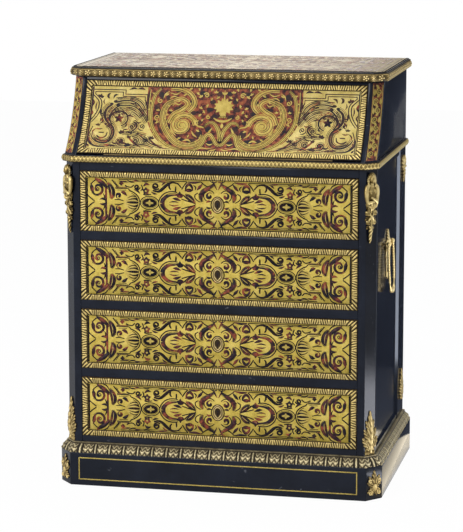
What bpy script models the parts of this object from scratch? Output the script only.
# Ebonised dressing chest with gilt mounts: four long drawers on a plinth, a hollow fall front above them
# and a lid with a mirror under it. Metres, +Z up, front towards -Y, origin under the middle of the plinth.
import math

import bmesh
import bpy
from mathutils import Matrix, Vector

# Clearances
SEAT = 0.0003                  # between pieces that rest on or against each other
RUN_GAP = 0.0004               # under a drawer
HEAD_GAP = 0.0010              # over a drawer
DRAWER_GAP = 0.0008            # at each side of a drawer
FALL_GAP = 0.0008              # at each end of the fall front
FALL_TOP_GAP = 0.0012          # between the fall front's top edge and the top rail
PIN_CLEARANCE = 0.0003         # round a hinge pin
BAIL_CLEARANCE = 0.0004        # round a handle's pivot

# Plan of the case and its plinth
CASE_WIDTH = 0.822
CASE_DEPTH = 0.540
CASE_CANT_X = 0.025
CASE_CANT_Y = 0.029
LEDGE = 0.0205                 # the plinth stands this far out at the front and the sides
REAR_LEDGE = 0.0085

# Plinth
PLINTH_HEIGHT = 0.089
PLINTH_WALL = 0.028
PLINTH_MOULDING_HEIGHT = 0.0245

# Case
POST_WIDTH = 0.0435
FRONT_POST_DEPTH = 0.0475
REAR_STILE = 0.1035            # flush outer face of a rear post
REAR_BEVEL = 0.020             # bevel in front of that face, down to the side panel
PANEL_RECESS = 0.006
PANEL_THICKNESS = 0.018
PANEL_TOP_RAIL = 0.014
PANEL_FOOT_RAIL = 0.040
PANEL_BEVEL = 0.004
BACK_THICKNESS = 0.012
BASE_HEIGHT = 0.0422           # from the plinth to the lowest drawer
BASE_BOARD = 0.018
BASE_APRON = 0.022
DIVIDER_THICKNESS = 0.0234
FRIEZE_HEIGHT = 0.0226
FRIEZE_DEPTH = 0.070

# Drawers
DRAWER_COUNT = 4
DRAWER_HEIGHT = 0.158
DRAWER_FRONT = 0.020
DRAWER_BACK_GAP = 0.0127       # room behind a drawer
DRAWER_SIDE = 0.010
DRAWER_BOTTOM = 0.007
DRAWER_BOX_DROP = 0.018        # top edge of the box below the top of the front
BORDER_WIDTH = 0.0165
BORDER_RELIEF = 0.0035
ESCUTCHEON_WIDTH = 0.028
ESCUTCHEON_HEIGHT = 0.040
ESCUTCHEON_THICKNESS = 0.0025
KEYHOLE_RADIUS = 0.0030
KEYHOLE_SLOT = 0.0032
KEYHOLE_DROP = 0.0090

# Upper section
WAIST_THICKNESS = 0.0196
WAIST_REACH = 0.0115           # foot of the upper section in front of the case
WAIST_OVERHANG = 0.001
WAIST_MOULDING_REACH = 0.008
WAIST_MOULDING_DROP = 0.002    # top of the moulding below the top of the board
CHEEK_HEIGHT = 0.1934
CHEEK_RAKE = 0.115             # top of the hollow front behind its foot
CHEEK_HOLLOW = 0.0145          # depth of the hollow below its chord
CHEEK_CANT_X = 0.027
CHEEK_CANT_Y = 0.026
CHEEK_STILE = 0.0105
CHEEK_STILE_DEPTH = 0.034
CHEEK_BOARD = 0.020
UPPER_BACK = 0.015
TOP_BAND = 0.0095              # part of the top rail that shows over the fall front
TOP_RAIL_DEPTH = 0.034
TOP_RAIL_LIP = 0.010           # stop behind the fall front's top edge
HOLLOW_STEPS = 12

# Lid and mirror
LID_THICKNESS = 0.0245
LID_OVERHANG = 0.0065
LID_MOULDING_REACH = 0.008
LID_MOULDING_HEIGHT = 0.0215
MIRROR_FRAME_WIDTH = 0.030
MIRROR_FRAME_THICKNESS = 0.009
MIRROR_GLASS_THICKNESS = 0.004
MIRROR_SIDE_MARGIN = 0.070
MIRROR_FRONT_MARGIN = 0.075
MIRROR_REAR_MARGIN = 0.045

# Fall front
FALL_THICKNESS = 0.016
FALL_BORDER_WIDTH = 0.0165
FALL_BORDER_RELIEF = 0.0030

# Hinges
HINGE_LENGTH = 0.600
HINGE_KNUCKLES = 9
HINGE_LEAF = 0.0010
HINGE_LEAF_WIDTH = 0.014
KNUCKLE_RADIUS = 0.0022
PIN_RADIUS = 0.0009
HINGE_SIDES = 12

# Side handles
HANDLE_HEIGHT = 0.636          # pivot above the floor
HANDLE_SETBACK = 0.017         # behind the middle of the side panel
HANDLE_PLATE_WIDTH = 0.092
HANDLE_PLATE_RISE = 0.034
HANDLE_PLATE_FALL = 0.092
HANDLE_PLATE_THICKNESS = 0.004
EAR_SPACING = 0.064
EAR_RADIUS = 0.0065
EAR_LENGTH = 0.008
EAR_OFFSET = 0.0052            # pivot in front of the plate's face
BAIL_RADIUS = 0.0024
BAIL_GRIP_RADIUS = 0.0056
BAIL_DROP = 0.126
BAIL_SPREAD = 0.092
BAIL_BOW = 0.0105              # grip further out than the pivot

# Gilt relief mounts
CARYATID_HEIGHT = 0.182
CARYATID_WIDTH = 0.042
CARYATID_DEPTH = 0.022
CARYATID_TOP_GAP = 0.007       # under the waist board
LEAF_HEIGHT = 0.118
LEAF_WIDTH = 0.036
LEAF_DEPTH = 0.011
SPRAY_HEIGHT = 0.072
SPRAY_WIDTH = 0.050
SPRAY_DEPTH = 0.0085
REAR_CAPITAL_HEIGHT = 0.075
REAR_CAPITAL_WIDTH = 0.046
REAR_CAPITAL_DEPTH = 0.011
REAR_CAPITAL_TOP_GAP = 0.022
REAR_LEAF_HEIGHT = 0.092
REAR_LEAF_WIDTH = 0.044
REAR_LEAF_DEPTH = 0.010
REAR_LEAF_LIFT = 0.036         # above the front leaf mounts' foot
MOUNT_FOOT_GAP = 0.002         # between a foot mount and the plinth moulding
RELIEF_ROWS = 30
RELIEF_POINTS = 11

# Places worked out from the sizes above
HALF_CASE = CASE_WIDTH / 2
PLINTH_DEPTH = LEDGE + CASE_DEPTH + REAR_LEDGE
CASE_FRONT = LEDGE - PLINTH_DEPTH / 2
CASE_REAR = CASE_FRONT + CASE_DEPTH
OPENING_HALF = HALF_CASE - POST_WIDTH
PITCH = RUN_GAP + DRAWER_HEIGHT + HEAD_GAP + DIVIDER_THICKNESS
Z_CASE = PLINTH_HEIGHT + SEAT
Z_DRAWERS = PLINTH_HEIGHT + BASE_HEIGHT
Z_FRIEZE = Z_DRAWERS + DRAWER_COUNT * PITCH - DIVIDER_THICKNESS
Z_CASE_TOP = Z_FRIEZE + FRIEZE_HEIGHT
Z_WAIST = Z_CASE_TOP + SEAT
Z_WELL = Z_WAIST + WAIST_THICKNESS
Z_CHEEK = Z_WELL + SEAT
Z_CHEEK_TOP = Z_CHEEK + CHEEK_HEIGHT
Z_LID = Z_CHEEK_TOP + SEAT
INNER_BACK = CASE_REAR - BACK_THICKNESS - SEAT
UPPER_FOOT = CASE_FRONT - WAIST_REACH
UPPER_TOP = UPPER_FOOT + CHEEK_RAKE
STILE_INNER = HALF_CASE - CHEEK_CANT_X - CHEEK_STILE
FALL_HALF = STILE_INNER - FALL_GAP
HINGE_ROOM = HINGE_LEAF + 1.5 * SEAT          # from a hinge's axis to the board behind a folded leaf
NOTCH = KNUCKLE_RADIUS + SEAT                 # room round a knuckle

# Finishes: colour, roughness, metallic
EBONISED = ((0.020, 0.023, 0.032), 0.28, 0.0)
GILT = ((0.72, 0.53, 0.20), 0.34, 1.0)
MARQUETRY = ((0.55, 0.42, 0.14), 0.40, 0.4)
BRASS = ((0.62, 0.46, 0.18), 0.40, 1.0)
OAK = ((0.36, 0.24, 0.13), 0.62, 0.0)
SILVERED_GLASS = ((0.82, 0.85, 0.86), 0.05, 1.0)


def fresh_scene():
    for old in list(bpy.data.objects):
        bpy.data.objects.remove(old, do_unlink=True)
    made = []
    for name in ("dressing_chest", "cutters"):
        collection = bpy.data.collections.new(name)
        bpy.context.scene.collection.children.link(collection)
        made.append(collection)
    return made


PARTS, CUTTERS = fresh_scene()


def joint_empty(name, place):
    empty = bpy.data.objects.new(name, None)
    empty.location = place
    PARTS.objects.link(empty)
    return empty


def painted(name, finish):
    colour, roughness, metallic = finish
    material = bpy.data.materials.new(name + "_finish")
    material.use_nodes = True
    shader = material.node_tree.nodes["Principled BSDF"]
    shader.inputs["Base Color"].default_value = (*colour, 1.0)
    shader.inputs["Roughness"].default_value = roughness
    shader.inputs["Metallic"].default_value = metallic
    return material


def add_piece(name, shape, finish, parent=None, smooth=False):
    """Turns a bmesh in world places into a named piece whose origin is its centre, or its joint's empty."""
    corners = [vert.co for vert in shape.verts]
    low = Vector(min(co[i] for co in corners) for i in range(3))
    high = Vector(max(co[i] for co in corners) for i in range(3))
    origin = parent.location.copy() if parent else (low + high) / 2
    bmesh.ops.translate(shape, verts=shape.verts, vec=-origin)
    mesh = bpy.data.meshes.new(name)
    shape.to_mesh(mesh)
    shape.free()
    mesh.materials.append(painted(name, finish))
    if smooth:
        mesh.shade_smooth()
        mesh.set_sharp_from_angle(angle=math.radians(35))
    piece = bpy.data.objects.new(name, mesh)
    if parent:
        piece.parent = parent
    else:
        piece.location = origin
    PARTS.objects.link(piece)
    return piece


def combine(piece, shape, operation):
    """Joins a bmesh to a piece, or cuts it out, with a live Boolean."""
    mesh = bpy.data.meshes.new(piece.name + "_tool")
    shape.to_mesh(mesh)
    shape.free()
    tool = bpy.data.objects.new(mesh.name, mesh)
    tool.hide_render = True
    tool.display_type = "WIRE"
    CUTTERS.objects.link(tool)
    boolean = piece.modifiers.new(operation.lower(), "BOOLEAN")
    boolean.object = tool
    boolean.operation = operation


def box(low, high):
    shape = bmesh.new()
    bmesh.ops.create_cube(shape, size=1.0)
    low, high = Vector(low), Vector(high)
    bmesh.ops.scale(shape, verts=shape.verts, vec=high - low)
    bmesh.ops.translate(shape, verts=shape.verts, vec=(low + high) / 2)
    return shape


def boxes(spans):
    shape = bmesh.new()
    for low, high in spans:
        low, high = Vector(low), Vector(high)
        place = Matrix.Translation((low + high) / 2) @ Matrix.Diagonal((*(high - low), 1.0))
        bmesh.ops.create_cube(shape, size=1.0, matrix=place)
    return shape


def rods(axis, spans, radius, place, sides=HINGE_SIDES):
    """Round bars along X or Y through a point, one for each span along that axis."""
    turn = Matrix.Rotation(math.pi / 2, 4, "Y") if axis == 0 else Matrix.Rotation(math.pi / 2, 4, "X")
    shape = bmesh.new()
    for start, end in spans:
        centre = Vector(place)
        centre[axis] = (start + end) / 2
        bmesh.ops.create_cone(shape, cap_ends=True, segments=sides, radius1=radius, radius2=radius,
                              depth=end - start, matrix=Matrix.Translation(centre) @ turn)
    return shape


def prism(outline, step):
    """A flat outline pushed along a vector."""
    shape = bmesh.new()
    face = shape.faces.new([shape.verts.new(point) for point in outline])
    pushed = bmesh.ops.extrude_face_region(shape, geom=[face])
    moved = [item for item in pushed["geom"] if isinstance(item, bmesh.types.BMVert)]
    bmesh.ops.translate(shape, verts=moved, vec=step)
    bmesh.ops.recalc_face_normals(shape, faces=shape.faces)
    return shape


def loft(loops, ring=False):
    """Skins closed sections in order, and caps the ends unless the last meets the first."""
    shape = bmesh.new()
    rows = [[shape.verts.new(point) for point in loop] for loop in loops]
    following = rows[1:] + rows[:1] if ring else rows[1:]
    for near, far in zip(rows, following):
        for i, corner in enumerate(near):
            j = (i + 1) % len(near)
            shape.faces.new((corner, near[j], far[j], far[i]))
    if not ring:
        shape.faces.new(rows[0])
        shape.faces.new(rows[-1])
    bmesh.ops.recalc_face_normals(shape, faces=shape.faces)
    return shape


def canted_path(half, front, rear, cant_x, cant_y, out):
    """Plan of a case with canted front corners, moved out by a distance with true mitres, left to right."""
    length = math.hypot(cant_x, cant_y)
    normal_x, normal_y = cant_y / length, -cant_x / length
    level = normal_x * half + normal_y * (front + cant_y) + out
    side_y = (level - normal_x * (half + out)) / normal_y
    front_x = (level - normal_y * (front - out)) / normal_x
    right = [(front_x, front - out), (half + out, side_y), (half + out, rear)]
    return [(-x, y) for x, y in reversed(right)] + right


def case_path(out, rear=CASE_REAR):
    return canted_path(HALF_CASE, CASE_FRONT, rear, CASE_CANT_X, CASE_CANT_Y, out)


def foot_path(out):
    return canted_path(HALF_CASE, UPPER_FOOT, CASE_REAR, CHEEK_CANT_X, CHEEK_CANT_Y, out)


def lid_path(out):
    return canted_path(HALF_CASE, UPPER_TOP, CASE_REAR, CHEEK_CANT_X, CHEEK_CANT_Y, out)


def moulding(path, profile):
    """Carries a profile of (distance out, height) along a plan path."""
    tracks = [[(x, y, z) for x, y in path(out)] for out, z in profile]
    return loft([[track[i] for track in tracks] for i in range(len(tracks[0]))])


def frame_loops(half, low, high, steps, profile, place):
    """Mitred rectangular frame: the profile is (inset, relief) and place maps across, up and relief."""
    shares = [i / steps for i in range(steps + 1)]
    stations = [(1, share) for share in shares] + [(-1, share) for share in reversed(shares)]
    loops = []
    for side, share in stations:
        loop = []
        for inset, relief in profile:
            rise = low + inset + (high - low - 2 * inset) * share
            loop.append(place(side * (half - inset), rise, relief))
        loops.append(loop)
    return loops


def border_profile(width, relief):
    """Ovolo, fillet and bead of a gilt border, from its outer edge inwards."""
    return [(0.0, 0.0), (0.0, 0.55 * relief), (0.12 * width, relief), (0.50 * width, 0.62 * relief),
            (0.66 * width, 0.40 * relief), (0.78 * width, 0.86 * relief), (0.92 * width, 0.80 * relief),
            (width, 0.30 * relief), (width, 0.0)]


def hollow_arc():
    """Centre and radius, in the YZ plane, of the arc that the cheeks and the fall front share."""
    foot = Vector((UPPER_FOOT, Z_CHEEK))
    top = Vector((UPPER_TOP, Z_CHEEK_TOP))
    chord = top - foot
    radius = (chord.length_squared / 4 + CHEEK_HOLLOW ** 2) / (2 * CHEEK_HOLLOW)
    outward = Vector((-chord.y, chord.x)).normalized()
    return (foot + top) / 2 + outward * (radius - CHEEK_HOLLOW), radius


ARC_CENTRE, ARC_RADIUS = hollow_arc()


def hollow_y(z):
    return ARC_CENTRE.x + math.sqrt(ARC_RADIUS ** 2 - (z - ARC_CENTRE.y) ** 2)


def hollow_angle(z):
    return math.asin((z - ARC_CENTRE.y) / ARC_RADIUS)


def on_hollow(angle, depth):
    """Point of the hollow at an angle, sunk behind its surface by a depth."""
    reach = ARC_RADIUS + depth
    return ARC_CENTRE.x + reach * math.cos(angle), ARC_CENTRE.y + reach * math.sin(angle)


FALL_AXIS = Vector((0.0, hollow_y(Z_CHEEK) + KNUCKLE_RADIUS, Z_WELL + HINGE_ROOM))
LID_AXIS = Vector((0.0, CASE_REAR + SEAT + KNUCKLE_RADIUS, Z_LID - SEAT / 2))


def make_plinth():
    tracks = [(LEDGE, REAR_LEDGE, 0.0), (LEDGE, REAR_LEDGE, PLINTH_HEIGHT)]
    tracks += [(out - PLINTH_WALL, rear - PLINTH_WALL, z) for out, rear, z in reversed(tracks)]
    rings = [[(x, y, z) for x, y in case_path(out, CASE_REAR + rear)] for out, rear, z in tracks]
    add_piece("plinth", loft(rings, ring=True), EBONISED)
    height = PLINTH_MOULDING_HEIGHT
    profile = [(SEAT, Z_CASE), (LEDGE, Z_CASE), (LEDGE, Z_CASE + 0.12 * height),
               (0.86 * LEDGE, Z_CASE + 0.20 * height), (0.80 * LEDGE, Z_CASE + 0.42 * height),
               (0.52 * LEDGE, Z_CASE + 0.68 * height), (0.30 * LEDGE, Z_CASE + 0.76 * height),
               (0.26 * LEDGE, Z_CASE + height), (SEAT, Z_CASE + height)]
    add_piece("plinth_moulding", moulding(case_path, profile), GILT)


def make_posts():
    rise = (0, 0, Z_CASE_TOP - Z_CASE)
    bevel_front = CASE_REAR - REAR_STILE - REAR_BEVEL
    for side, word in ((-1, "left"), (1, "right")):
        front = [(OPENING_HALF, CASE_FRONT), (HALF_CASE - CASE_CANT_X, CASE_FRONT),
                 (HALF_CASE, CASE_FRONT + CASE_CANT_Y), (HALF_CASE, CASE_FRONT + FRONT_POST_DEPTH),
                 (OPENING_HALF, CASE_FRONT + FRONT_POST_DEPTH)]
        rear = [(OPENING_HALF, bevel_front), (HALF_CASE - PANEL_RECESS, bevel_front),
                (HALF_CASE, bevel_front + REAR_BEVEL), (HALF_CASE, CASE_REAR), (OPENING_HALF, CASE_REAR)]
        for name, plan in (("front", front), ("rear", rear)):
            outline = [(side * x, y, Z_CASE) for x, y in plan]
            add_piece(f"{name}_{word}_post", prism(outline, rise), EBONISED)


def make_side_panels():
    inner = HALF_CASE - PANEL_RECESS - PANEL_THICKNESS
    face = HALF_CASE - PANEL_RECESS
    foot = Z_CASE + PANEL_FOOT_RAIL
    head = Z_CASE_TOP - PANEL_TOP_RAIL
    section = [(inner, Z_CASE), (HALF_CASE, Z_CASE), (HALF_CASE, foot), (face, foot + PANEL_BEVEL),
               (face, head - PANEL_BEVEL), (HALF_CASE, head), (HALF_CASE, Z_CASE_TOP), (inner, Z_CASE_TOP)]
    start = CASE_FRONT + FRONT_POST_DEPTH + SEAT
    end = CASE_REAR - REAR_STILE - REAR_BEVEL - SEAT
    for side, word in ((-1, "left"), (1, "right")):
        outline = [(side * x, start, z) for x, z in section]
        add_piece(f"{word}_side_panel", prism(outline, (0, end - start, 0)), EBONISED)


def make_boards():
    half = OPENING_HALF - SEAT
    add_piece("back_panel", box((-half, INNER_BACK + SEAT, Z_CASE), (half, CASE_REAR, Z_CASE_TOP)), OAK)
    base = [(CASE_FRONT, Z_CASE), (CASE_FRONT, Z_DRAWERS), (INNER_BACK, Z_DRAWERS),
            (INNER_BACK, Z_DRAWERS - BASE_BOARD), (CASE_FRONT + BASE_APRON, Z_DRAWERS - BASE_BOARD),
            (CASE_FRONT + BASE_APRON, Z_CASE)]
    outline = [(-half, y, z) for y, z in base]
    add_piece("bottom_board", prism(outline, (2 * half, 0, 0)), EBONISED)
    for number in range(1, DRAWER_COUNT):
        top = Z_DRAWERS + (DRAWER_COUNT - number) * PITCH
        low = (-half, CASE_FRONT, top - DIVIDER_THICKNESS)
        add_piece(f"drawer_divider_{number}", box(low, (half, INNER_BACK, top)), EBONISED)
    low = (-half, CASE_FRONT, Z_FRIEZE)
    add_piece("frieze_rail", box(low, (half, CASE_FRONT + FRIEZE_DEPTH, Z_CASE_TOP)), EBONISED)


def make_waist():
    outline = [(x, y, Z_WAIST) for x, y in foot_path(WAIST_OVERHANG)]
    board = add_piece("waist_board", prism(outline, (0, 0, WAIST_THICKNESS)), EBONISED)
    edge = UPPER_FOOT - WAIST_OVERHANG
    rebate = box((-STILE_INNER, edge - NOTCH, FALL_AXIS.z - NOTCH), (STILE_INNER, FALL_AXIS.y + NOTCH, Z_LID))
    combine(board, rebate, "DIFFERENCE")
    seat = WAIST_OVERHANG + SEAT
    reach = WAIST_OVERHANG + WAIST_MOULDING_REACH
    height = WAIST_THICKNESS - WAIST_MOULDING_DROP
    profile = [(seat, Z_WAIST), (0.62 * reach, Z_WAIST), (0.70 * reach, Z_WAIST + 0.16 * height),
               (reach, Z_WAIST + 0.40 * height), (reach, Z_WAIST + 0.62 * height),
               (0.66 * reach, Z_WAIST + 0.86 * height), (0.50 * reach, Z_WAIST + height),
               (seat, Z_WAIST + height)]
    add_piece("waist_moulding", moulding(foot_path, profile), GILT)


def make_cheeks():
    rear = CASE_REAR
    board_inner = HALF_CASE - CHEEK_BOARD
    heights = [Z_CHEEK + CHEEK_HEIGHT * i / HOLLOW_STEPS for i in range(HOLLOW_STEPS + 1)]
    for side, word in ((-1, "left"), (1, "right")):
        loops = []
        for z in heights:
            front = hollow_y(z)
            plan = [(STILE_INNER, front), (HALF_CASE - CHEEK_CANT_X, front),
                    (HALF_CASE, front + CHEEK_CANT_Y), (HALF_CASE, rear),
                    (board_inner, rear), (board_inner, front + CHEEK_STILE_DEPTH),
                    (STILE_INNER, front + CHEEK_STILE_DEPTH)]
            loops.append([(side * x, y, z) for x, y in plan])
        add_piece(f"{word}_cheek", loft(loops), EBONISED)
    half = board_inner - SEAT
    add_piece("upper_back", box((-half, rear - UPPER_BACK, Z_CHEEK), (half, rear, Z_CHEEK_TOP)), OAK)


def fall_top_edge():
    """Front corner of the fall front's top edge and the way that edge slopes, square to its swing."""
    z = Z_CHEEK_TOP - TOP_BAND
    corner = Vector((hollow_y(z), z))
    swing = corner - Vector((FALL_AXIS.y, FALL_AXIS.z))
    return corner, Vector((swing.y, -swing.x)).normalized()


def make_top_rail():
    corner, slope = fall_top_edge()
    away = Vector((-slope.y, slope.x)) * FALL_TOP_GAP
    front = corner + away
    inner = front + slope * (FALL_THICKNESS + 2 * FALL_TOP_GAP)
    back = UPPER_TOP + TOP_RAIL_DEPTH
    section = [(front.x, front.y), (hollow_y(Z_CHEEK_TOP), Z_CHEEK_TOP), (back, Z_CHEEK_TOP),
               (back, inner.y - TOP_RAIL_LIP), (inner.x + 2 * FALL_TOP_GAP, inner.y - TOP_RAIL_LIP),
               (inner.x, inner.y)]
    half = STILE_INNER - SEAT
    outline = [(-half, y, z) for y, z in section]
    add_piece("top_rail", prism(outline, (2 * half, 0, 0)), EBONISED)


def fall_section():
    """Section of the fall front: hollow face, bevelled top edge, inner face, and a foot cut for the hinge."""
    corner, slope = fall_top_edge()
    foot = FALL_AXIS.z + HINGE_ROOM
    start = hollow_angle(FALL_AXIS.z + NOTCH)
    end = hollow_angle(corner.y)
    face = [on_hollow(start + (end - start) * i / HOLLOW_STEPS, 0.0) for i in range(HOLLOW_STEPS + 1)]
    inner_top = corner + slope * FALL_THICKNESS
    inner_reach = (inner_top - ARC_CENTRE).length
    inner_end = math.atan2(inner_top.y - ARC_CENTRE.y, inner_top.x - ARC_CENTRE.x)
    inner_start = math.asin((foot - ARC_CENTRE.y) / inner_reach)
    depth = inner_reach - ARC_RADIUS
    inner = [on_hollow(inner_end + (inner_start - inner_end) * i / HOLLOW_STEPS, depth)
             for i in range(HOLLOW_STEPS + 1)]
    behind_knuckle = FALL_AXIS.y + NOTCH
    return face + inner + [(behind_knuckle, foot), (behind_knuckle, FALL_AXIS.z + NOTCH)]


def make_fall(axis):
    outline = [(-FALL_HALF, y, z) for y, z in fall_section()]
    add_piece("fall_panel", prism(outline, (2 * FALL_HALF, 0, 0)), MARQUETRY, axis)
    low = hollow_angle(FALL_AXIS.z + NOTCH) * ARC_RADIUS
    high = hollow_angle(fall_top_edge()[0].y) * ARC_RADIUS

    def place(across, along, relief):
        return (across, *on_hollow(along / ARC_RADIUS, -SEAT - relief))

    profile = border_profile(FALL_BORDER_WIDTH, FALL_BORDER_RELIEF)
    loops = frame_loops(FALL_HALF, low, high, HOLLOW_STEPS, profile, place)
    add_piece("fall_border", loft(loops, ring=True), GILT, axis)


def make_lid(axis):
    outline = [(x, y, Z_LID) for x, y in lid_path(LID_OVERHANG)]
    add_piece("lid_board", prism(outline, (0, 0, LID_THICKNESS)), MARQUETRY, axis)
    seat = LID_OVERHANG + SEAT
    reach = LID_OVERHANG + LID_MOULDING_REACH
    low = Z_LID + SEAT
    height = LID_MOULDING_HEIGHT
    profile = [(seat, low), (seat + 0.30 * LID_MOULDING_REACH, low), (reach, low + 0.30 * height),
               (reach, low + 0.58 * height), (seat + 0.62 * LID_MOULDING_REACH, low + 0.74 * height),
               (seat + 0.50 * LID_MOULDING_REACH, low + height), (seat, low + height)]
    add_piece("lid_moulding", moulding(lid_path, profile), GILT, axis)


def make_mirror(axis):
    half = HALF_CASE - MIRROR_SIDE_MARGIN
    front = UPPER_TOP + MIRROR_FRONT_MARGIN
    rear = CASE_REAR - MIRROR_REAR_MARGIN
    top = Z_LID - SEAT
    thickness = MIRROR_FRAME_THICKNESS
    width = MIRROR_FRAME_WIDTH
    profile = [(0.0, 0.0), (0.0, 0.6 * thickness), (0.3 * width, thickness), (0.8 * width, 0.8 * thickness),
               (width, 0.5 * thickness), (width, 0.0)]

    def place(across, along, drop):
        return across, along, top - drop

    add_piece("mirror_frame", loft(frame_loops(half, front, rear, 1, profile, place), ring=True), OAK, axis)
    inset = width + SEAT
    low = (inset - half, front + inset, top - MIRROR_GLASS_THICKNESS)
    add_piece("mirror_glass", box(low, (half - inset, rear - inset, top)), SILVERED_GLASS, axis)


def make_hinge(name, axis_place, leaves, moving_parent):
    """A long hinge. leaves gives the low and high corner of each leaf, counted from the axis."""
    step = HINGE_LENGTH / HINGE_KNUCKLES
    start = -HINGE_LENGTH / 2
    spans = [(start + i * step + SEAT / 2, start + (i + 1) * step - SEAT / 2) for i in range(HINGE_KNUCKLES)]
    across = Vector((HINGE_LENGTH / 2, 0, 0))
    room = Vector((SEAT, NOTCH, NOTCH))
    for word, own, other, parent in (("fixed", spans[0::2], spans[1::2], None),
                                     ("moving", spans[1::2], spans[0::2], moving_parent)):
        low, high = leaves[word]
        leaf = box(axis_place + low - across, axis_place + high + across)
        piece = add_piece(f"{name}_hinge_{word}", leaf, BRASS, parent)
        notches = [(axis_place + Vector((a, 0, 0)) - room, axis_place + Vector((b, 0, 0)) + room)
                   for a, b in other]
        combine(piece, boxes(notches), "DIFFERENCE")
        combine(piece, rods(0, own, KNUCKLE_RADIUS, axis_place), "UNION")
        whole = [(start + SEAT, -start - SEAT)]
        if word == "fixed":
            combine(piece, rods(0, whole, PIN_RADIUS, axis_place), "UNION")
        else:
            bore = [(start - SEAT, SEAT - start)]
            combine(piece, rods(0, bore, PIN_RADIUS + PIN_CLEARANCE, axis_place), "DIFFERENCE")


def make_hinges(lid_axis, fall_axis):
    inner = SEAT / 2
    outer = inner + HINGE_LEAF
    fall_leaves = {"fixed": (Vector((0, 0, -outer)), Vector((0, HINGE_LEAF_WIDTH, -inner))),
                   "moving": (Vector((0, 0, inner)), Vector((0, HINGE_LEAF_WIDTH, outer)))}
    make_hinge("fall", FALL_AXIS, fall_leaves, fall_axis)
    against = -KNUCKLE_RADIUS
    face = against + HINGE_LEAF
    lid_leaves = {"fixed": (Vector((0, against, -HINGE_LEAF_WIDTH)), Vector((0, face, 0))),
                  "moving": (Vector((0, against, 0)), Vector((0, face, HINGE_LEAF_WIDTH)))}
    make_hinge("lid", LID_AXIS, lid_leaves, lid_axis)


def curve_mesh(name, splines, thickness):
    """Fills flat outlines into a plate and returns its welded bmesh, thickness centred on local zero."""
    data = bpy.data.curves.new(name, "CURVE")
    data.dimensions = "2D"
    data.fill_mode = "BOTH"
    data.extrude = thickness / 2
    for outline in splines:
        spline = data.splines.new("POLY")
        spline.points.add(len(outline) - 1)
        for point, (x, y) in zip(spline.points, outline):
            point.co = (x, y, 0.0, 1.0)
        spline.use_cyclic_u = True
    return welded(name, data)


def welded(name, data):
    curve = bpy.data.objects.new(name, data)
    CUTTERS.objects.link(curve)
    bpy.context.view_layer.update()
    seen = curve.evaluated_get(bpy.context.evaluated_depsgraph_get())
    mesh = bpy.data.meshes.new_from_object(seen)
    shape = bmesh.new()
    shape.from_mesh(mesh)
    bmesh.ops.remove_doubles(shape, verts=shape.verts, dist=0.00001)
    bpy.data.objects.remove(curve, do_unlink=True)
    bpy.data.meshes.remove(mesh)
    return shape


def drawer_floor(number):
    return Z_DRAWERS + (DRAWER_COUNT - number) * PITCH + RUN_GAP


def keyhole_outline():
    """Round eye of a keyhole with its slot below, as one outline."""
    half_angle = math.asin(KEYHOLE_SLOT / 2 / KEYHOLE_RADIUS)
    steps = 10
    first = -math.pi / 2 + half_angle
    sweep = 2 * math.pi - 2 * half_angle
    turns = [first + sweep * i / steps for i in range(steps + 1)]
    eye = [(KEYHOLE_RADIUS * math.cos(turn), KEYHOLE_RADIUS * math.sin(turn)) for turn in turns]
    return eye + [(-KEYHOLE_SLOT / 2, -KEYHOLE_DROP), (KEYHOLE_SLOT / 2, -KEYHOLE_DROP)]


def make_escutcheon(number, slide, middle):
    steps = 24
    turns = [2 * math.pi * i / steps for i in range(steps)]
    oval = [(ESCUTCHEON_WIDTH / 2 * math.cos(a), ESCUTCHEON_HEIGHT / 2 * math.sin(a)) for a in turns]
    lift = KEYHOLE_DROP / 2 - KEYHOLE_RADIUS / 2
    keyhole = [(x, y + lift) for x, y in keyhole_outline()]
    plate = curve_mesh(f"drawer_{number}_plate", [oval, keyhole], ESCUTCHEON_THICKNESS)
    out = CASE_FRONT - SEAT - ESCUTCHEON_THICKNESS / 2
    upright = Matrix.Translation((0, out, middle)) @ Matrix.Rotation(math.pi / 2, 4, "X")
    bmesh.ops.transform(plate, matrix=upright, verts=plate.verts)
    add_piece(f"drawer_{number}_escutcheon", plate, GILT, slide)


def make_drawer(number):
    floor = drawer_floor(number)
    half = OPENING_HALF - DRAWER_GAP
    top = floor + DRAWER_HEIGHT
    back_of_front = CASE_FRONT + DRAWER_FRONT
    slide = joint_empty(f"drawer_{number}_slide", (0.0, CASE_FRONT, floor))
    add_piece(f"drawer_{number}_front", box((-half, CASE_FRONT, floor), (half, back_of_front, top)),
              MARQUETRY, slide)
    start = back_of_front + SEAT
    end = INNER_BACK - DRAWER_BACK_GAP
    rim = top - DRAWER_BOX_DROP
    tray = add_piece(f"drawer_{number}_box", box((-half, start, floor), (half, end, rim)), OAK, slide)
    inside = box((DRAWER_SIDE - half, start - DRAWER_SIDE, floor + DRAWER_BOTTOM),
                 (half - DRAWER_SIDE, end - DRAWER_SIDE, top))
    combine(tray, inside, "DIFFERENCE")

    def place(across, along, relief):
        return across, CASE_FRONT - SEAT - relief, along

    profile = border_profile(BORDER_WIDTH, BORDER_RELIEF)
    loops = frame_loops(half, floor, top, 1, profile, place)
    add_piece(f"drawer_{number}_border", loft(loops, ring=True), GILT, slide)
    make_escutcheon(number, slide, (floor + top) / 2)


def eased(stations, share):
    """Value between (share, value...) stations, with a cosine ease from each to the next."""
    for left, right in zip(stations, stations[1:]):
        if share <= right[0]:
            along = (share - left[0]) / (right[0] - left[0])
            ease = (1 - math.cos(math.pi * along)) / 2
            return [a + (b - a) * ease for a, b in zip(left[1:], right[1:])]
    return list(stations[-1][1:])


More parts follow.
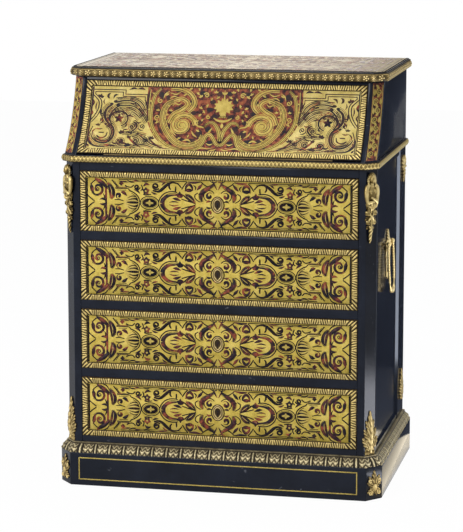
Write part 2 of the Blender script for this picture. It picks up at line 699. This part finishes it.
def relief_loops(height, width, depth, stations, place, lobes=0.0, ribs=0.0):
    """Flat-backed relief: half-oval sections whose width and depth follow the stations, foot to head.
    lobes notches the outline like a leaf's edge, and ribs flutes its face."""
    loops = []
    for row in range(RELIEF_ROWS + 1):
        share = row / RELIEF_ROWS
        wide, deep = eased(stations, share)
        notch = 1 - lobes * abs(math.sin(5 * math.pi * share)) ** 3
        loop = []
        for i in range(RELIEF_POINTS):
            angle = math.pi * i / (RELIEF_POINTS - 1)
            flute = 1 + ribs * math.cos(5 * (angle - math.pi / 2))
            loop.append(place(width / 2 * wide * notch * math.cos(angle),
                              depth * deep * math.sin(angle) * flute, height * share))
        loops.append(loop)
    return loops


CARYATID_STATIONS = [(0.0, 0.10, 0.20), (0.05, 0.24, 0.32), (0.13, 0.16, 0.26), (0.20, 0.34, 0.40),
                     (0.25, 0.24, 0.34), (0.31, 0.66, 0.58), (0.36, 0.42, 0.50), (0.42, 0.74, 0.66),
                     (0.47, 0.56, 0.60), (0.55, 0.86, 0.80), (0.62, 0.94, 0.88), (0.68, 0.90, 1.00),
                     (0.76, 1.00, 0.92), (0.82, 0.84, 0.70), (0.85, 0.34, 0.56), (0.88, 0.52, 0.78),
                     (0.93, 0.62, 0.94), (0.97, 0.52, 0.82), (1.0, 0.16, 0.40)]
LEAF_STATIONS = [(0.0, 0.86, 0.70), (0.06, 1.0, 1.0), (0.16, 0.92, 0.72), (0.45, 1.0, 0.86),
                 (0.70, 0.78, 0.80), (0.90, 0.34, 0.62), (1.0, 0.06, 0.25)]
SPRAY_STATIONS = [(0.0, 0.16, 0.30), (0.15, 0.50, 0.70), (0.35, 0.80, 0.90), (0.60, 1.0, 1.0),
                  (0.80, 0.86, 0.90), (0.95, 0.46, 0.70), (1.0, 0.14, 0.30)]
CAPITAL_STATIONS = [(0.0, 0.12, 0.30), (0.20, 0.40, 0.70), (0.45, 0.70, 0.86), (0.75, 0.90, 1.0),
                    (0.92, 1.0, 0.90), (1.0, 0.86, 0.60)]


def cant_place(side, path, base):
    """Maps across, out and up on to the right or left canted corner of a plan path."""
    front_x, front_y = path[3]
    side_x, side_y = path[4]
    middle = Vector(((front_x + side_x) / 2, (front_y + side_y) / 2))
    along = Vector((side_x - front_x, side_y - front_y)).normalized()
    outward = Vector((along.y, -along.x))

    def place(across, out, up):
        spot = middle + along * across + outward * (out + SEAT)
        return side * spot.x, spot.y, base + up

    return place


def make_mounts():
    stile_middle = CASE_REAR - REAR_STILE / 2
    foot = Z_CASE + PLINTH_MOULDING_HEIGHT + MOUNT_FOOT_GAP
    rear_foot = foot + REAR_LEAF_LIFT
    head = Z_CASE_TOP - CARYATID_TOP_GAP - CARYATID_HEIGHT
    capital = Z_CASE_TOP - REAR_CAPITAL_TOP_GAP - REAR_CAPITAL_HEIGHT
    spray = (PLINTH_HEIGHT - SPRAY_HEIGHT) / 2
    for side, word in ((-1, "left"), (1, "right")):

        def on_stile(base):
            return lambda across, out, up: (side * (HALF_CASE + SEAT + out), stile_middle + across, base + up)

        post = case_path(0.0)
        reliefs = {
            f"{word}_caryatid": relief_loops(CARYATID_HEIGHT, CARYATID_WIDTH, CARYATID_DEPTH,
                                             CARYATID_STATIONS, cant_place(side, post, head)),
            f"{word}_leaf_mount": relief_loops(LEAF_HEIGHT, LEAF_WIDTH, LEAF_DEPTH, LEAF_STATIONS,
                                               cant_place(side, post, foot), 0.22, 0.14),
            f"{word}_plinth_spray": relief_loops(SPRAY_HEIGHT, SPRAY_WIDTH, SPRAY_DEPTH, SPRAY_STATIONS,
                                                 cant_place(side, case_path(LEDGE), spray), 0.34, 0.18),
            f"rear_{word}_capital": relief_loops(REAR_CAPITAL_HEIGHT, REAR_CAPITAL_WIDTH, REAR_CAPITAL_DEPTH,
                                                 CAPITAL_STATIONS, on_stile(capital), 0.20, 0.14),
            f"rear_{word}_leaf_mount": relief_loops(REAR_LEAF_HEIGHT, REAR_LEAF_WIDTH, REAR_LEAF_DEPTH,
                                                    LEAF_STATIONS, on_stile(rear_foot), 0.22, 0.14),
        }
        for name, loops in reliefs.items():
            add_piece(name, loft(loops), GILT, smooth=True)


def plate_outline():
    """Cartouche of a handle plate: a leaf-tipped oval, drawn in at the pivots and at the foot."""
    steps = 40
    outline = []
    for i in range(steps):
        angle = 2 * math.pi * i / steps
        reach = 1 + 0.10 * math.cos(2 * angle) + 0.07 * math.cos(6 * angle)
        tall = HANDLE_PLATE_RISE if math.sin(angle) > 0 else HANDLE_PLATE_FALL
        outline.append((HANDLE_PLATE_WIDTH / 2 * math.cos(angle) * reach / 1.17,
                        tall * math.sin(angle) * reach / 0.83))
    return outline


def bail_points():
    """Half a bail as (out, across, up, radius), from its pivot end to the middle of the grip."""
    half = BAIL_SPREAD / 2
    ear_end = EAR_SPACING / 2 - EAR_LENGTH / 2 + SEAT
    bend = EAR_SPACING / 2 + EAR_LENGTH / 2 + 2 * BAIL_RADIUS
    points = [(0.0, ear_end, 0.0, BAIL_RADIUS), (0.0, bend - BAIL_RADIUS, 0.0, BAIL_RADIUS)]
    steps = 12
    for i in range(steps + 1):
        angle = math.pi / 2 * i / steps
        swell = BAIL_RADIUS + (BAIL_GRIP_RADIUS - BAIL_RADIUS) * math.sin(angle) ** 6
        reach = bend + (half - bend) * math.sin(2 * angle)
        across = reach * math.cos(angle) ** 0.5
        drop = BAIL_DROP * math.sin(angle) ** 0.9 + BAIL_RADIUS
        points.append((BAIL_BOW * math.sin(angle), across, -drop, swell))
    return points


def bail_shape(name, side, pivot):
    half = bail_points()
    whole = [(out, -across, up, radius) for out, across, up, radius in half[:-1]] + half[::-1]
    data = bpy.data.curves.new(name, "CURVE")
    data.dimensions = "3D"
    data.bevel_depth = 1.0
    data.bevel_resolution = 2
    data.use_fill_caps = True
    spline = data.splines.new("POLY")
    spline.points.add(len(whole) - 1)
    for point, (out, across, up, radius) in zip(spline.points, whole):
        point.co = (pivot.x + side * out, pivot.y + across, pivot.z + up, 1.0)
        point.radius = radius
    return welded(name, data)


def make_handles():
    panel_front = CASE_FRONT + FRONT_POST_DEPTH
    panel_rear = CASE_REAR - REAR_STILE - REAR_BEVEL
    middle = (panel_front + panel_rear) / 2 + HANDLE_SETBACK
    face = HALF_CASE - PANEL_RECESS + SEAT
    for side, word in ((-1, "left"), (1, "right")):
        plate = curve_mesh(f"{word}_plate", [plate_outline()], HANDLE_PLATE_THICKNESS)
        turn = Matrix(((0, 0, side), (side, 0, 0), (0, 1, 0))).to_4x4()
        spot = Vector((side * (face + HANDLE_PLATE_THICKNESS / 2), middle, HANDLE_HEIGHT))
        bmesh.ops.transform(plate, matrix=Matrix.Translation(spot) @ turn, verts=plate.verts)
        piece = add_piece(f"{word}_handle_plate", plate, GILT)
        pivot = Vector((side * (face + HANDLE_PLATE_THICKNESS + EAR_OFFSET), middle, HANDLE_HEIGHT))
        centres = (middle - EAR_SPACING / 2, middle + EAR_SPACING / 2)
        spans = [(centre - EAR_LENGTH / 2, centre + EAR_LENGTH / 2) for centre in centres]
        combine(piece, rods(1, spans, EAR_RADIUS, pivot), "UNION")
        bores = [(start - SEAT, end + SEAT) for start, end in spans]
        combine(piece, rods(1, bores, BAIL_RADIUS + BAIL_CLEARANCE, pivot), "DIFFERENCE")
        axis = joint_empty(f"{word}_handle_axis", pivot)
        add_piece(f"{word}_handle_bail", bail_shape(f"{word}_bail", side, pivot), GILT, axis, smooth=True)


def main():
    make_plinth()
    make_posts()
    make_side_panels()
    make_boards()
    make_waist()
    make_cheeks()
    make_top_rail()
    lid_axis = joint_empty("lid_axis", LID_AXIS)
    fall_axis = joint_empty("fall_axis", FALL_AXIS)
    make_fall(fall_axis)
    make_lid(lid_axis)
    make_mirror(lid_axis)
    make_hinges(lid_axis, fall_axis)
    for number in range(1, DRAWER_COUNT + 1):
        make_drawer(number)
    make_mounts()
    make_handles()


main()
